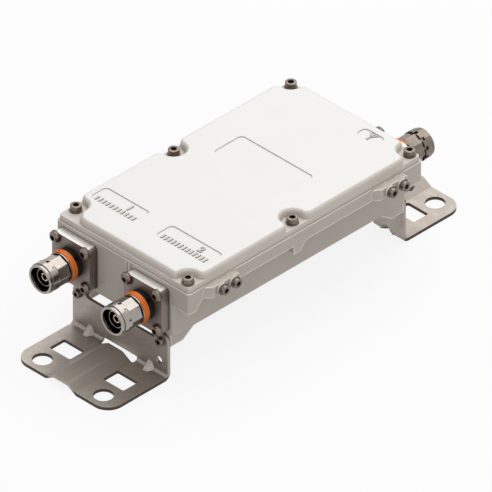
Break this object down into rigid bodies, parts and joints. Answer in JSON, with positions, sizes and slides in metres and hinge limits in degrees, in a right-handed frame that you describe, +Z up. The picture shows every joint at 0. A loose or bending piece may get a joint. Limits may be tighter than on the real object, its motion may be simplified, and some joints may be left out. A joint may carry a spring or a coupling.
{
  "type": "cavity diplexer",
  "caption": "Cavity diplexer in a flat cast housing with a pale lid, coaxial jacks on both ends and bent sheet steel foot brackets with bolt holes.",
  "frame": {"origin": "centre of the four foot holes on the mounting plane", "axes": "+X from the two ports towards the antenna port, +Y away from the ground screws, +Z up out of the lid"},
  "size_m": [0.3026, 0.121, 0.0776],
  "materials": {
    "cast_grey_paint": "satin grey paint on cast aluminium",
    "cast_white_paint": "satin white paint on cast aluminium",
    "bracket_steel": "satin plated sheet steel",
    "screw_steel": "darkened steel",
    "bright_plate": "bright plated brass",
    "black_ring": "gloss",
    "seal_orange": "satin",
    "seal_black": "matte",
    "bead_white": "satin",
    "contact_gold": "gold plated",
    "inner_silver": "silver plated",
    "inner_brass": "bare"
  },
  "bodies": {
    "root": {"housing": "cast_grey_paint", "lid": "cast_white_paint", "lid_gasket": "seal_black", "lid_screw_1": "screw_steel", "lid_screw_2": "screw_steel", "lid_screw_3": "screw_steel", "lid_screw_4": "screw_steel", "lid_screw_5": "screw_steel", "lid_screw_6": "screw_steel", "front_bracket": "bracket_steel", "rear_bracket": "bracket_steel", "bracket_screw_1": "screw_steel", "bracket_screw_2": "screw_steel", "bracket_screw_3": "screw_steel", "bracket_screw_4": "screw_steel", "ground_screw_1": "screw_steel", "ground_screw_2": "screw_steel", "ground_screw_3": "screw_steel", "ground_screw_4": "screw_steel", "ground_washers": "screw_steel", "port_1_connector": "bright_plate", "port_1_collar": "black_ring", "port_1_seal_ring": "seal_orange", "port_1_insulator": "bead_white", "port_1_contact": "contact_gold", "port_1_screws": "screw_steel", "port_1_washers": "screw_steel", "port_2_connector": "bright_plate", "port_2_collar": "black_ring", "port_2_seal_ring": "seal_orange", "port_2_insulator": "bead_white", "port_2_contact": "contact_gold", "port_2_screws": "screw_steel", "port_2_washers": "screw_steel", "antenna_port_connector": "bright_plate", "antenna_port_collar": "black_ring", "antenna_port_seal_ring": "seal_orange", "antenna_port_insulator": "bead_white", "antenna_port_contact": "contact_gold", "antenna_port_screws": "screw_steel", "antenna_port_washers": "screw_steel", "tuning_plate": "inner_silver", "tuning_plate_screws": "screw_steel", "tuning_screws": "inner_brass", "tuning_nuts": "inner_brass", "high_band_resonator_1": "inner_silver", "high_band_resonator_2": "inner_silver", "high_band_resonator_3": "inner_silver", "high_band_resonator_4": "inner_silver", "high_band_resonator_5": "inner_silver", "low_band_resonator_1": "inner_silver", "low_band_resonator_2": "inner_silver", "low_band_resonator_3": "inner_silver", "low_band_resonator_4": "inner_silver", "common_line": "inner_silver", "port_1_tap": "inner_silver", "port_2_tap": "inner_silver"}
  },
  "joints": []
}
